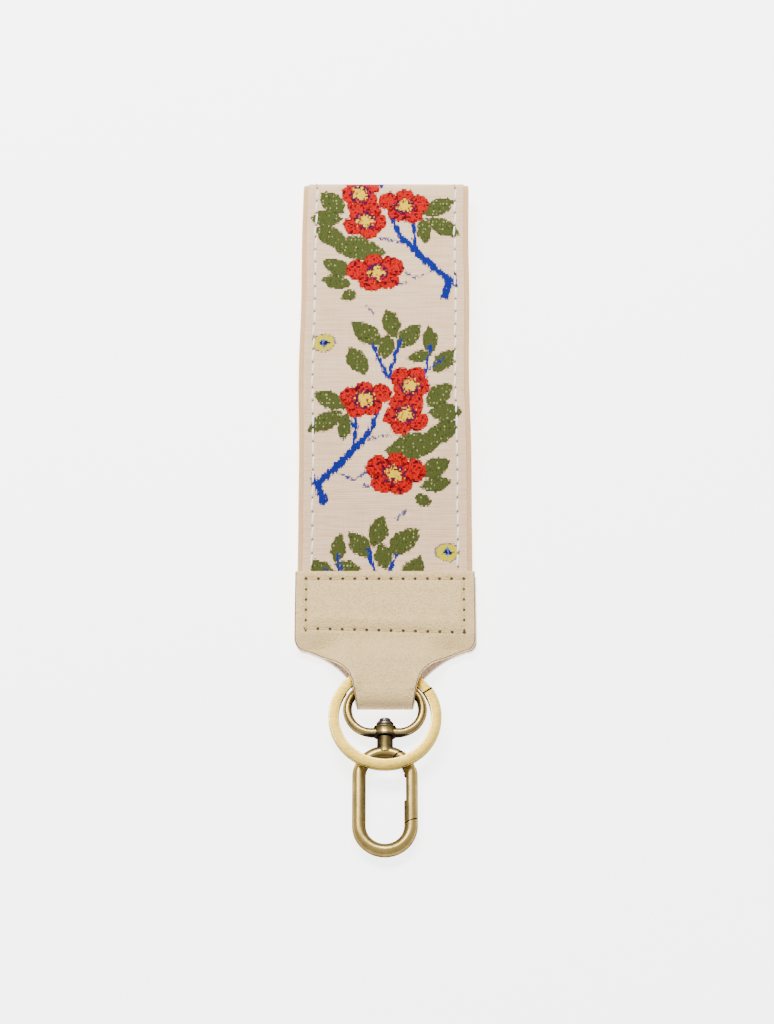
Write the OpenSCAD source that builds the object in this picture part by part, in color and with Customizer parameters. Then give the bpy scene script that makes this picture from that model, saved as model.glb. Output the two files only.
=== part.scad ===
// Wristlet keychain: a looped webbing strap with a woven ribbon, a folded
// leather tab, a swivel snap hook on a wire bail and a split ring.
// Millimetres, +Z up, lying flat with the ribbon facing up.

/* [Strap loop] */
// From the outer end of the leather fold to the far end of the loop
loop_reach = 135.5; // [100:0.1:180]
// Width of the webbing
webbing_w = 39.8; // [20:0.1:50]
// Thickness of the webbing
webbing_t = 0.9; // [0.6:0.05:2]
// How far the ribbon stops short of each edge of the webbing
ribbon_inset = 1.2; // [0.5:0.1:4]
// Thickness of the ribbon
ribbon_t = 0.35; // [0.2:0.05:0.8]
// Clear height between the two halves of the loop
loop_gap = 5.0; // [4.4:0.1:12]
// Length over which the loop opens out above the tab
loop_rise = 42; // [20:1:70]

/* [Ribbon stitching] */
// Distance of each stitch row from the ribbon's edge
row_inset = 2.1; // [1:0.1:5]
// Length of one stitch with its gap
row_pitch = 3.4; // [2:0.1:6]
// Width of the thread
thread_w = 0.6; // [0.3:0.05:1]
// Height of a stitch above the ribbon
thread_rise = 0.25; // [0.15:0.05:0.5]
// Height of the thread between two stitches
thread_low = 0.12; // [0.08:0.01:0.14]

/* [Leather tab] */
// Thickness of the leather
leather_t = 1.0; // [0.8:0.1:2]
// How far the tab reaches past each edge of the webbing
tab_margin = 0.45; // [0.2:0.05:3]
// From the fold to the straight top edge
tab_len = 32.5; // [26:0.1:50]
// How far the strap ends stop short of the fold
strap_end = 17.5; // [16:0.1:24]
// Half width of the neck at the fold
neck_half = 6.2; // [4:0.1:8]
// Half width of the neck where the curves begin
neck_root = 7.6; // [5:0.1:9]
// Radius of the concave side curves
side_curve_r = 19.3; // [14:0.1:24]
// Radius of the rounded lower corners
tab_corner_r = 2.4; // [1:0.1:4]
// Clear height of the eye inside the fold
eye_h = 4.4; // [4:0.1:7]

/* [Tab stitching] */
// Distance of the stitched rectangle from each edge of the webbing
box_side = 2.1; // [1:0.1:5]
// Height of the stitched rectangle
box_h = 12.6; // [8:0.1:14]
// Distance of the stitched rectangle from the top edge
box_inset = 2.0; // [1:0.1:4]
// Stitches along the width
box_nx = 13; // [6:1:18]
// Stitches along the height
box_ny = 5; // [3:1:8]

/* [Swivel bail] */
// Wire diameter of the bail
bail_wire = 2.0; // [1.6:0.1:2.6]
// Bend radius of the bail at the wire centre
bail_bend = 5.5; // [4.5:0.1:6.5]
// Straight part of the bail
bail_straight = 5.7; // [4:0.1:7]
// Distance from the fold's end to the bar centre
bar_y = 5.0; // [4.2:0.1:6]
// Collar radius
collar_r = 2.3; // [2:0.05:2.8]
// Collar length
collar_len = 2.85; // [2:0.05:4]

/* [Snap hook] */
// Wire diameter of the hook
hook_wire = 3.0; // [2.4:0.1:3.4]
// Bend radius of the hook at the wire centre
hook_bend = 5.7; // [5:0.1:7]
// Distance between the two bend centres
hook_straight = 11.3; // [8:0.1:20]
// Length of the stem between collar and hook
stem_len = 2.0; // [1:0.1:4]
// Radius of the stem
stem_r = 1.77; // [1.5:0.01:2]
// Swivel pin shank radius
shank_r = 1.0; // [0.8:0.05:1.2]
// Swivel pin head radius
head_r = 1.45; // [1.2:0.05:1.8]
// Swivel washer radius
washer_r = 2.2; // [1.8:0.05:2.3]
// Swivel washer thickness
washer_t = 0.45; // [0.3:0.05:0.8]

/* [Gate] */
// Radius of the gate's rounded hinge end
gate_end_r = 3.73; // [3:0.01:4]
// Gate pin radius
pin_r = 0.55; // [0.4:0.05:0.7]
// Thickness of the tongue inside the fork
tongue_t = 1.0; // [0.8:0.1:1.2]
// Radius of the tongue's hub
hub_r = 1.2; // [1:0.05:1.4]
// Slope of the cut at the closing end
nose_angle = 21; // [10:1:35]
// Depth of the relief on the inner side of the gate
relief = 0.4; // [0:0.05:0.6]
// Spring wire radius
spring_wire_r = 0.12; // [0.08:0.01:0.15]
// Spring coil radius
spring_coil_r = 0.38; // [0.3:0.01:0.42]
// Spring length
spring_len = 4.1; // [3:0.1:6]

/* [Split ring] */
// Outer diameter of the ring
ring_d = 25; // [22:0.5:28]
// Radial width of the ring
ring_w = 2.3; // [1.8:0.1:2.5]
// Thickness of the two turns together
ring_t = 1.7; // [1.2:0.1:1.8]
// How far the ring's far edge reaches past the fold's end
ring_reach = 15.65; // [14:0.05:20]
// Angle of the visible cut end
ring_cut = 34; // [20:1:50]

/* [Clearances] */
// Running clearance of pins in their bores
run_fit = 0.06; // [0.02:0.01:0.1]
// Gap between moving metal faces
face_gap = 0.3; // [0.1:0.05:0.4]
// Gap between pieces lying on each other
lie_gap = 0.12; // [0.05:0.01:0.3]

/* [Hidden] */
$fn = 48;
ribbon_w = webbing_w - 2 * ribbon_inset;
row_spacing = ribbon_w - 2 * row_inset;
tab_w = webbing_w + 2 * tab_margin;
box_w = webbing_w - 2 * box_side;
layer_t = webbing_t + ribbon_t;
tab_front_z = leather_t + 2 * layer_t;
eye_top_z = leather_t + eye_h;
fold_r = (eye_h + 2 * leather_t) / 2;
loop_low_z = thread_rise + 0.05;
loop_top_z = loop_low_z + 2 * layer_t + loop_gap;
loop_fold_r = (loop_top_z - loop_low_z) / 2;
loop_fold_y = loop_reach - thread_rise - loop_fold_r;
loop_fold_z = loop_low_z + loop_fold_r;
rise_start = tab_len + 1.5;
row_start = tab_len + 0.8;

hw_z = collar_r;
bail_r = bail_wire / 2;
hook_r = hook_wire / 2;
bail_low_y = bar_y - 2 * bail_bend;
bail_mid_y = bar_y - bail_bend;
collar_rise = 0.78;
collar_top_y = bail_low_y + bail_r + collar_rise;
collar_low_y = collar_top_y - collar_len;
stem_top_y = collar_low_y - face_gap / 2;
hook_top_y = stem_top_y - stem_len;
bend_top_y = hook_top_y - hook_r - hook_bend;
bend_low_y = bend_top_y - hook_straight;
hook_low_y = bend_low_y - hook_bend - hook_r;
pin_inward = 0.64;
pin_above = 1.97;
nose_outward = 1.4;
nose_above = 1.6;
pin_x = hook_bend - pin_inward;
pin_y = bend_top_y + pin_above;
nose_x = hook_bend + nose_outward;
nose_y = bend_low_y + nose_above;
tongue_angle = 116;
slot_t = tongue_t + 2 * face_gap;
bore_x = hook_bend - 0.1;
bore_r = spring_coil_r + spring_wire_r + 0.15;
bore_low_y = pin_y - hub_r - 0.3 - spring_len;

head_h = 0.6;
head_cap_h = 0.4;
pin_sunk = 0.06;

ring_r = ring_d / 2;
ring_in_r = ring_r - ring_w;
ring_y = ring_r - ring_reach;
ring_low_z = hw_z + bail_r + lie_gap;
hook_touch_y = ring_y - (ring_in_r + ring_r) / 2;
ring_rise = hw_z + hook_r + lie_gap - ring_low_z;
ring_tilt = atan(max(ring_rise, 0) / (bar_y - hook_touch_y));

y_mid = (loop_reach + hook_low_y) / 2;

function clamp01(t) = max(0, min(1, t));
function ease(t) = let (u = clamp01(t)) u * u * (3 - 2 * u);
function arc(cx, cy, r, a0, a1, n) =
    [for (i = [0:n]) let (a = a0 + (a1 - a0) * i / n) [cx + r * cos(a), cy + r * sin(a)]];

// Height of the loop's upper and lower outer faces above the floor
function loop_upper(y) =
    tab_front_z + (loop_top_z - tab_front_z) * ease((y - rise_start) / loop_rise);
function loop_lower(y) =
    leather_t + (loop_low_z - leather_t) * ease((y - rise_start) / (loop_rise / 2));

// Stations along the strap, and one face of it at a depth below the outside
loop_steps = 14;
function loop_stations(y0) = concat(
    [y0],
    [for (i = [0:loop_steps]) if (rise_start + loop_rise * i / loop_steps > y0)
        rise_start + loop_rise * i / loop_steps]);
function reversed(v) = [for (i = [len(v) - 1:-1:0]) v[i]];
function loop_face(y0, depth) = concat(
    [for (y = loop_stations(y0)) [y, loop_upper(y) - depth]],
    arc(loop_fold_y, loop_fold_z, loop_fold_r - depth, 90, -90, 20),
    [for (y = reversed(loop_stations(y0))) [y, loop_lower(y) + depth]]);

// A point at a height above the strap, a given way along it
row_flat = loop_fold_y - row_start;
row_bend = PI * loop_fold_r;
row_len = 2 * row_flat + row_bend;
function row_point(s, h) =
    s < row_flat ? [row_start + s, loop_upper(row_start + s) + h]
    : s < row_flat + row_bend
        ? let (a = 90 - 180 * (s - row_flat) / row_bend)
            [loop_fold_y + (loop_fold_r + h) * cos(a), loop_fold_z + (loop_fold_r + h) * sin(a)]
        : let (y = row_start + row_len - s) [y, loop_lower(y) - h];

module across(width) {
    rotate([90, 0, 90]) linear_extrude(width, center = true) children();
}

// Through holes left by the corner stitches of the tab
box_top_y = tab_len - box_inset;
box_low_y = box_top_y - box_h;
post_r = 0.3;
seat = 0.3;
module corner_posts(z0, z1) {
    for (sx = [-1, 1], y = [box_low_y, box_top_y])
        translate([sx * box_w / 2, y, z0]) cylinder(r = post_r, h = z1 - z0);
}

module strap_webbing() {
    color([0.92, 0.80, 0.69])
    difference() {
        across(webbing_w)
            polygon(concat(
                loop_face(strap_end, ribbon_t),
                reversed(loop_face(strap_end, layer_t))));
        corner_posts(-1, tab_front_z + 1);
    }
}

module ribbon() {
    color([0.87, 0.80, 0.75])
    difference() {
        across(ribbon_w)
            polygon(concat(
                loop_face(strap_end, 0),
                reversed(loop_face(strap_end, ribbon_t))));
        corner_posts(-1, tab_front_z + 1);
    }
}

module stitch_row() {
    count = floor(row_len / row_pitch);
    step = row_len / count;
    across(thread_w)
        polygon(concat(
            [row_point(0, thread_low)],
            [for (i = [0:count - 1],
                  k = [[0.08, thread_low], [0.18, thread_rise],
                       [0.74, thread_rise], [0.84, thread_low]])
                row_point((i + k[0]) * step, k[1])],
            [row_point(row_len - 0.01, thread_low)],
            reversed(loop_face(row_start, 0))));
}

module ribbon_stitch_left() {
    color([0.93, 0.87, 0.76]) translate([-row_spacing / 2, 0, 0]) stitch_row();
}

module ribbon_stitch_right() {
    color([0.93, 0.87, 0.76]) translate([row_spacing / 2, 0, 0]) stitch_row();
}

// Where the front layer starts to come down from the eye to the strap
slope_y = 10;

// Outline of the right half of the tab, from the top edge to the fold
curve_outward = 3.35;
shoulder_h = 3.6;
curve_x = tab_w / 2 + curve_outward;
curve_top_y = strap_end - shoulder_h;
corner_x = tab_w / 2 - tab_corner_r;
curve_y = curve_top_y - sqrt(pow(side_curve_r, 2) - pow(curve_x - corner_x, 2));
neck_a = 180 - acos((curve_x - neck_root) / side_curve_r);
function half_outline() = concat(
    [[tab_w / 2, tab_len]],
    arc(corner_x, curve_top_y + tab_corner_r, tab_corner_r, 0, -90, 8),
    arc(curve_x, curve_y, side_curve_r,
        180 - acos((curve_x - corner_x) / side_curve_r), neck_a, 20),
    [[neck_half + 0.5, 2.5], [neck_half, 0]]);

module tab_outline() {
    right = half_outline();
    polygon(concat(right, reversed([for (p = right) [-p[0], p[1]]])));
}

module tab_profile() {
    slope = [for (i = [0:10]) slope_y + (strap_end - slope_y - 0.5) * i / 10];
    function drop(y) = ease((y - slope_y) / (strap_end - slope_y - 0.5));
    function under(y) = eye_top_z - (eye_top_z - tab_front_z) * drop(y);
    polygon(concat(
        [[tab_len, 0]],
        arc(fold_r, fold_r, fold_r, 270, 90, 24),
        [for (y = slope) [y, under(y) + leather_t]],
        [[tab_len, tab_front_z + leather_t], [tab_len, tab_front_z]],
        [for (y = reversed(slope)) [y, under(y)]],
        arc(fold_r, fold_r, fold_r - leather_t, 90, 270, 24),
        [[tab_len, leather_t]]));
}

module box_frame(w) {
    for (y = [box_low_y, box_top_y])
        translate([0, y]) square([box_w + w, w], center = true);
    for (sx = [-1, 1])
        translate([sx * box_w / 2, (box_low_y + box_top_y) / 2])
            square([w, box_h + w], center = true);
}

module leather_tab() {
    color([0.875, 0.80, 0.675])
    difference() {
        intersection() {
            across(tab_w + 2) tab_profile();
            translate([0, 0, -1]) linear_extrude(eye_top_z + leather_t + 2) tab_outline();
        }
        corner_posts(-1, eye_top_z + 2);
        translate([0, 0, -1]) linear_extrude(1 + seat) box_frame(thread_w);
    }
}

module tab_stitching() {
    top = tab_front_z + leather_t;
    px = box_w / box_nx;
    py = box_h / box_ny;
    color([0.93, 0.87, 0.76])
    union() {
        translate([0, 0, 0.05]) linear_extrude(seat - 0.05) box_frame(thread_w);
        translate([0, 0, top]) linear_extrude(thread_low) box_frame(thread_w);
        corner_posts(seat - 0.1, top + 0.05);
        for (i = [0:box_nx - 1], y = [box_low_y, box_top_y])
            translate([(i + 0.5) * px - box_w / 2, y, top + thread_rise / 2])
                cube([px * 0.76, thread_w, thread_rise], center = true);
        for (i = [0:box_ny - 1], sx = [-1, 1])
            translate([sx * box_w / 2, box_low_y + (i + 0.5) * py, top + thread_rise / 2])
                cube([thread_w, py * 0.76, thread_rise], center = true);
    }
}

// A closed wire link with round ends, in the XY plane
module half_bend(r, wire_r) {
    rotate_extrude(angle = 180) translate([r, 0]) circle(r = wire_r);
}

module swivel_bail() {
    half = bail_straight / 2;
    color([0.62, 0.47, 0.24])
    translate([0, 0, hw_z])
    difference() {
        union() {
            for (s = [-1, 1])
                translate([s * half, bail_mid_y, 0]) rotate([0, 0, -90 * s])
                    half_bend(bail_bend, bail_r);
            for (y = [bar_y, bail_low_y])
                translate([-half, y, 0]) rotate([0, 90, 0])
                    cylinder(r = bail_r, h = bail_straight);
            translate([0, collar_low_y, 0]) rotate([-90, 0, 0])
                cylinder(r = collar_r, h = collar_len);
        }
        translate([0, collar_low_y - 1, 0]) rotate([-90, 0, 0])
            cylinder(r = shank_r + run_fit, h = collar_len + 2);
    }
}

module hook_link() {
    translate([0, bend_top_y, 0]) half_bend(hook_bend, hook_r);
    translate([0, bend_low_y, 0]) rotate([0, 0, 180]) half_bend(hook_bend, hook_r);
    for (s = [-1, 1])
        translate([s * hook_bend, bend_low_y, 0]) rotate([-90, 0, 0])
            cylinder(r = hook_r, h = hook_straight);
}

// The part of the link that belongs to the gate, grown by a gap
module gate_zone(gap) {
    depth = 2 * hook_wire;
    translate([pin_x, pin_y, -hook_wire]) cylinder(r = gate_end_r + gap, h = depth);
    translate([0, 0, -hook_wire]) linear_extrude(depth)
        polygon([
            [hook_bend - 3.2, pin_y],
            [hook_bend + 3.2, pin_y],
            [hook_bend + 3.2, nose_y + (hook_bend + 3.2 - nose_x) * tan(nose_angle) - gap],
            [hook_bend - 3.2, nose_y + (hook_bend - 3.2 - nose_x) * tan(nose_angle) - gap]
        ]);
}

module tongue_plate(hub, half_w, thick) {
    translate([pin_x, pin_y, -thick / 2]) {
        cylinder(r = hub, h = thick);
        rotate([0, 0, tongue_angle]) translate([0, -half_w, 0])
            cube([gate_end_r + 1.2, 2 * half_w, thick]);
    }
}

module hook_frame() {
    color([0.60, 0.46, 0.25])
    translate([0, 0, hw_z])
    difference() {
        union() {
            difference() {
                hook_link();
                gate_zone(face_gap);
            }
            intersection() {
                hook_link();
                tongue_plate(hub_r, 1.1, tongue_t);
            }
            translate([0, hook_top_y - hook_r, 0]) rotate([-90, 0, 0])
                cylinder(r = stem_r, h = stem_len + hook_r);
        }
        translate([0, hook_top_y - 0.4, 0]) rotate([-90, 0, 0])
            cylinder(r = shank_r, h = stem_len + 2);
        translate([pin_x, pin_y, -hook_wire]) cylinder(r = pin_r, h = 2 * hook_wire);
    }
}

washer_low_y = collar_top_y + face_gap / 2;
washer_top_y = washer_low_y + washer_t;

module swivel_pin() {
    color([0.30, 0.27, 0.22])
    translate([0, 0, hw_z])
    union() {
        translate([0, hook_top_y - 0.4, 0]) rotate([-90, 0, 0])
            cylinder(r = shank_r, h = washer_top_y - hook_top_y + 0.5);
        translate([0, washer_top_y, 0]) rotate([-90, 0, 0])
            cylinder(r = head_r, h = head_h);
        translate([0, washer_top_y + head_h, 0]) rotate([-90, 0, 0])
            cylinder(r1 = head_r, r2 = head_r * 0.7, h = head_cap_h);
    }
}

module swivel_washer() {
    color([0.34, 0.30, 0.24])
    translate([0, washer_low_y, hw_z]) rotate([-90, 0, 0])
    difference() {
        cylinder(r = washer_r, h = washer_t);
        translate([0, 0, -1]) cylinder(r = shank_r, h = washer_t + 2);
    }
}

module gate_pin() {
    color([0.40, 0.33, 0.22])
    translate([pin_x, pin_y, hw_z - hook_r + pin_sunk])
        cylinder(r = pin_r, h = hook_wire - 2 * pin_sunk);
}

module gate() {
    color([0.66, 0.51, 0.28])
    translate([0, 0, hw_z])
    difference() {
        intersection() {
            hook_link();
            gate_zone(0);
        }
        translate([pin_x, pin_y, -hook_wire])
            cylinder(r = pin_r + run_fit, h = 2 * hook_wire);
        translate([pin_x, pin_y, -slot_t / 2]) cylinder(r = hub_r + 0.4, h = slot_t);
        translate([pin_x - gate_end_r - 1, pin_y, -slot_t / 2])
            cube([2 * gate_end_r + 2, gate_end_r + 1, slot_t]);
        translate([bore_x, bore_low_y, 0]) rotate([-90, 0, 0])
            cylinder(r = bore_r, h = pin_y - bore_low_y - hub_r);
        translate([0, bend_low_y + 5.6, -hook_wire])
            cube([hook_bend - hook_r + relief, hook_straight - 5.4, 2 * hook_wire]);
    }
}

module gate_spring() {
    turns = 6;
    color([0.75, 0.75, 0.73])
    translate([bore_x, bore_low_y, hw_z]) rotate([-90, 0, 0])
        linear_extrude(spring_len, twist = -360 * turns, slices = 10 * turns, $fn = 6)
            translate([spring_coil_r, 0]) circle(r = spring_wire_r, $fn = 6);
}

// One turn of the ring with a sector left out, and the crossover block
module ring_sector(a0, a1) {
    far = ring_d;
    polygon(concat([[0, 0]], arc(0, 0, far, a0, a1, 4)));
}

module ring_annulus() {
    difference() {
        circle(r = ring_r, $fn = 120);
        circle(r = ring_in_r, $fn = 120);
    }
}

module split_ring() {
    turn_t = ring_t / 2 - 0.02;
    cross_a = 180 - 2 * ring_cut - 72;
    color([0.74, 0.61, 0.36])
    translate([0, bar_y, ring_low_z]) rotate([-ring_tilt, 0, 0])
    translate([0, ring_y - bar_y, 0]) {
        linear_extrude(turn_t) difference() {
            ring_annulus();
            ring_sector(90 + cross_a / 2, 180 - ring_cut);
        }
        translate([0, 0, ring_t - turn_t]) linear_extrude(turn_t) difference() {
            ring_annulus();
            ring_sector(ring_cut, 90 - cross_a / 2);
        }
        linear_extrude(ring_t) intersection() {
            ring_annulus();
            ring_sector(90 - cross_a / 2, 90 + cross_a / 2);
        }
    }
}

translate([0, -y_mid, 0]) {
strap_webbing();
ribbon();
ribbon_stitch_left();
ribbon_stitch_right();
leather_tab();
tab_stitching();
swivel_bail();
hook_frame();
swivel_pin();
swivel_washer();
gate_pin();
gate();
gate_spring();
split_ring();
}
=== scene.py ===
import math

import bpy
import numpy as np
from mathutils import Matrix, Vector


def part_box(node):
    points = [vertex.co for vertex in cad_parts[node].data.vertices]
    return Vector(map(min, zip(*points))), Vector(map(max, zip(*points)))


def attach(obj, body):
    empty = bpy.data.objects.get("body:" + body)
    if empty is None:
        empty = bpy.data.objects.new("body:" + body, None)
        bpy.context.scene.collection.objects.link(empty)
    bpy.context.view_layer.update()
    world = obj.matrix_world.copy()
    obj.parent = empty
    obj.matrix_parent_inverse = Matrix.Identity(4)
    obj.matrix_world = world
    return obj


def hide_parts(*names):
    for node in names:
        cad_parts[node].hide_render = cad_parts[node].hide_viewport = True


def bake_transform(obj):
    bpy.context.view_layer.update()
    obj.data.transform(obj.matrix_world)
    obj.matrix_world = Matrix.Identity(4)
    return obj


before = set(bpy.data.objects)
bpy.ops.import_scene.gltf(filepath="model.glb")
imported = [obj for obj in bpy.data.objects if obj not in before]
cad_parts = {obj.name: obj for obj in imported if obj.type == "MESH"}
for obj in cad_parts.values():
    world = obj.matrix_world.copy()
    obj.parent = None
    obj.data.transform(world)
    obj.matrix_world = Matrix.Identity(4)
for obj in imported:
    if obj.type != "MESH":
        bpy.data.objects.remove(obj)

# Sizes of the part as packed, kept beside the sizes of what is shown.
fold_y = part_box("leather_tab")[0].y

# Camera: it looks down on the piece from the hook's end, 26 degrees off the vertical.
# Places below are in millimetres from the outer end of the leather fold, +Y up the strap.
lens = bpy.data.cameras.new("camera")
lens.sensor_fit = "VERTICAL"
lens.sensor_height = 36
lens.lens = 100.36
lens.clip_start = 0.05
camera = bpy.data.objects.new("camera", lens)
camera.location = (0.000445, fold_y - 0.23896, 0.59141)
camera.rotation_euler = (math.radians(26), 0, 0)
bpy.context.scene.collection.objects.link(camera)
bpy.context.scene.camera = camera

# Light: a white room with one broad soft light over the loop's end
# and a weaker one from the left.
world = bpy.data.worlds.new("room")
bpy.context.scene.world = world
world.use_nodes = True
sky = world.node_tree.nodes["Background"]
sky.inputs["Color"].default_value = (0.98, 0.985, 1.0, 1)
sky.inputs["Strength"].default_value = 1.0


def soft_light(name, place, target, size, power, tint=(1, 1, 1)):
    data = bpy.data.lights.new(name, "AREA")
    data.shape = "RECTANGLE"
    data.size, data.size_y = size
    data.energy = power
    data.color = tint
    lamp = bpy.data.objects.new(name, data)
    lamp.location = place
    aim = np.array(target) - np.array(place)
    lamp.rotation_euler = (
        math.acos(-aim[2] / np.linalg.norm(aim)),
        0,
        math.atan2(aim[0], -aim[1]),
    )
    bpy.context.scene.collection.objects.link(lamp)
    return lamp


soft_light("over", (-0.12, 0.42, 0.75), (0, 0, 0), (0.55, 0.35), 24, (1, 0.985, 0.96))
soft_light("left", (-0.65, -0.1, 0.45), (0, 0, 0), (0.4, 0.4), 7.0)

# Floor: a plain white surface that glows a little, like a light table.
floor_mesh = bpy.data.meshes.new("floor")
floor_mesh.from_pydata(
    [(-3, -3, 0), (3, -3, 0), (3, 3, 0), (-3, 3, 0)], [], [(0, 1, 2, 3)]
)
floor = bpy.data.objects.new("floor", floor_mesh)
floor.location.z = -0.00002
bpy.context.scene.collection.objects.link(floor)
white = bpy.data.materials.new("floor")
white.use_nodes = True
floor_surface = white.node_tree.nodes["Principled BSDF"]
floor_surface.inputs["Base Color"].default_value = (0.9, 0.9, 0.9, 1)
floor_surface.inputs["Roughness"].default_value = 0.6
floor_surface.inputs["Emission Color"].default_value = (1, 1, 1, 1)
floor_surface.inputs["Emission Strength"].default_value = 3.6
floor_mesh.materials.append(white)


# ---------------------------------------------------------------------------
# Webbing: a stiff 40 mm band of heavy peach weave, folded into the wrist loop.
# Both ends lie between the two layers of the tab. It lies flat at the tab and
# opens to 5 mm inside further up.
class Value:
    """A shader value that calculates like a number."""

    def __init__(self, tree, socket):
        self.tree, self.socket = tree, socket

    def math(self, operation, *others, clamp=False):
        node = self.tree.nodes.new("ShaderNodeMath")
        node.operation = operation
        node.use_clamp = clamp
        for i, v in enumerate((self,) + others):
            if isinstance(v, Value):
                self.tree.links.new(v.socket, node.inputs[i])
            else:
                node.inputs[i].default_value = v
        return Value(self.tree, node.outputs[0])

    def __add__(self, o):
        return self.math("ADD", o)

    __radd__ = __add__

    def __sub__(self, o):
        return self.math("SUBTRACT", o)

    def __rsub__(self, o):
        return (self * -1) + o

    def __mul__(self, o):
        return self.math("MULTIPLY", o)

    __rmul__ = __mul__

    def __truediv__(self, o):
        return self.math("DIVIDE", o)

    def __abs__(self):
        return self.math("ABSOLUTE")

    def __pow__(self, o):
        return self.math("POWER", o)

    def low(self, o):
        return self.math("MINIMUM", o)

    def high(self, o):
        return self.math("MAXIMUM", o)

    def step(self, a, b):
        """0 at a, 1 at b, smooth between."""
        node = self.tree.nodes.new("ShaderNodeMapRange")
        node.interpolation_type = "SMOOTHSTEP"
        self.tree.links.new(self.socket, node.inputs["Value"])
        lo, hi = (a, b) if a < b else (b, a)
        node.inputs["From Min"].default_value = lo
        node.inputs["From Max"].default_value = hi
        node.inputs["To Min"].default_value = 0.0 if a < b else 1.0
        node.inputs["To Max"].default_value = 1.0 if a < b else 0.0
        return Value(self.tree, node.outputs["Result"])


class Finish:
    """A material being put together node by node."""

    def __init__(self, name):
        self.material = bpy.data.materials.new(name)
        self.material.use_nodes = True
        self.tree = self.material.node_tree
        self.surface = self.tree.nodes["Principled BSDF"]

    def node(self, kind, output=0, inputs=None, **settings):
        node = self.tree.nodes.new("ShaderNode" + kind)
        for k, v in settings.items():
            setattr(node, k, v)
        for k, v in (inputs or {}).items():
            if isinstance(v, Value):
                self.tree.links.new(v.socket, node.inputs[k])
            else:
                node.inputs[k].default_value = v
        return Value(self.tree, node.outputs[output])

    def set(self, **inputs):
        for k, v in inputs.items():
            socket = self.surface.inputs[k.replace("_", " ")]
            if isinstance(v, Value):
                self.tree.links.new(v.socket, socket)
            else:
                socket.default_value = v
        return self.material

    def mix(self, share, a, b):
        """Colour b over colour a, by share."""
        node = self.tree.nodes.new("ShaderNodeMix")
        node.data_type = "RGBA"
        sockets = [s for s in node.inputs if s.enabled]
        for socket, v in zip(sockets, (share, a, b)):
            if isinstance(v, Value):
                self.tree.links.new(v.socket, socket)
            else:
                socket.default_value = v
        return Value(
            self.tree, next(s for s in node.outputs if s.enabled)
        )

    def split(self, vector):
        node = self.tree.nodes.new("ShaderNodeSeparateXYZ")
        self.tree.links.new(vector.socket, node.inputs[0])
        return [Value(self.tree, o) for o in node.outputs]

    def join(self, x, y, z=0.0):
        return self.node("CombineXYZ", inputs={0: x, 1: y, 2: z})

    def noise(self, vector, scale, detail=2.0, rough=0.5, output="Fac"):
        return self.node(
            "TexNoise",
            output,
            {"Vector": vector, "Scale": scale, "Detail": detail, "Roughness": rough},
        )

    def bump(self, height, distance, strength=1.0, normal=None):
        inputs = {"Height": height, "Distance": distance, "Strength": strength}
        if normal:
            inputs["Normal"] = normal
        return self.node("Bump", 0, inputs)


def rgb(code):
    """A linear colour from a display one."""
    parts = [int(code[i : i + 2], 16) / 255 for i in (0, 2, 4)]
    return tuple(
        p / 12.92 if p <= 0.04045 else ((p + 0.055) / 1.055) ** 2.4 for p in parts
    ) + (1,)


def ease(t):
    t = np.clip(t, 0, 1)
    return t * t * (3 - 2 * t)


def loft(name, rings, uv=None, marks=None, closed=False, material=None):
    """A closed skin through rings of points, in millimetres from the fold."""
    n, k = rings.shape[:2]
    co = rings.reshape(-1, 3) / 1000
    co[:, 1] += fold_y
    i, j = np.meshgrid(np.arange(n if closed else n - 1), np.arange(k), indexing="ij")
    a = i * k + j
    b = i * k + (j + 1) % k
    c = ((i + 1) % n) * k + (j + 1) % k
    d = ((i + 1) % n) * k + j
    faces = np.stack([a, b, c, d], -1).reshape(-1, 4).tolist()
    if not closed:
        faces.append(list(range(k))[::-1])
        faces.append(list(range((n - 1) * k, n * k)))
    mesh = bpy.data.meshes.new(name)
    mesh.from_pydata(co.tolist(), [], faces)
    loops = np.zeros(len(mesh.loops), int)
    mesh.loops.foreach_get("vertex_index", loops)
    if uv is not None:
        layer = mesh.uv_layers.new(name="weave")
        layer.data.foreach_set(
            "uv", uv.reshape(-1, 2)[loops].astype(np.float32).ravel()
        )
    for key, values in (marks or {}).items():
        mesh.attributes.new(key, "FLOAT", "POINT").data.foreach_set(
            "value", np.asarray(values, np.float32).ravel()
        )
    mesh.polygons.foreach_set("use_smooth", np.ones(len(mesh.polygons), bool))
    mesh.update()
    corner = mesh.vertices
    volume = sum(
        corner[p.vertices[0]].co.cross(corner[p.vertices[1]].co).dot(p.center)
        for p in mesh.polygons
        if len(p.vertices) == 4
    )
    if volume < 0:
        mesh.flip_normals()
    if material:
        mesh.materials.append(material)
    thing = bpy.data.objects.new(name, mesh)
    bpy.context.scene.collection.objects.link(thing)
    return thing


webbing_t, ribbon_t, webbing_w, ribbon_w = 0.9, 0.35, 39.8, 37.4
layer_t = webbing_t + ribbon_t
strap_start, rise_start = 17.5, 34
loop_end = (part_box("ribbon")[1].y - fold_y) * 1000
loop_top, loop_low, tab_low, tab_top = 7.8, 0.3, 1.0, 3.5
bend_r = (loop_top - loop_low) / 2
bend_y = loop_end - bend_r


def strap_line():
    """Inner face of the loop from the tab, over the fold and back: Y, Z, way along."""
    y = np.linspace(strap_start, bend_y, 260)
    upper = tab_top + (loop_top - tab_top) * ease((y - rise_start) / 42) - layer_t
    lower = tab_low + (loop_low - tab_low) * ease((y - rise_start) / 21) + layer_t
    a = np.linspace(math.pi / 2, -math.pi / 2, 42)[1:-1]
    r = bend_r - layer_t
    ys = np.concatenate([y, bend_y + r * np.cos(a), y[::-1]])
    zs = np.concatenate([upper, loop_low + bend_r + r * np.sin(a), lower[::-1]])
    way = np.concatenate([[0], np.cumsum(np.hypot(np.diff(ys), np.diff(zs)))])
    return ys, zs, way


line_y, line_z, line_s = strap_line()
strap_len = line_s[-1]


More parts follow.
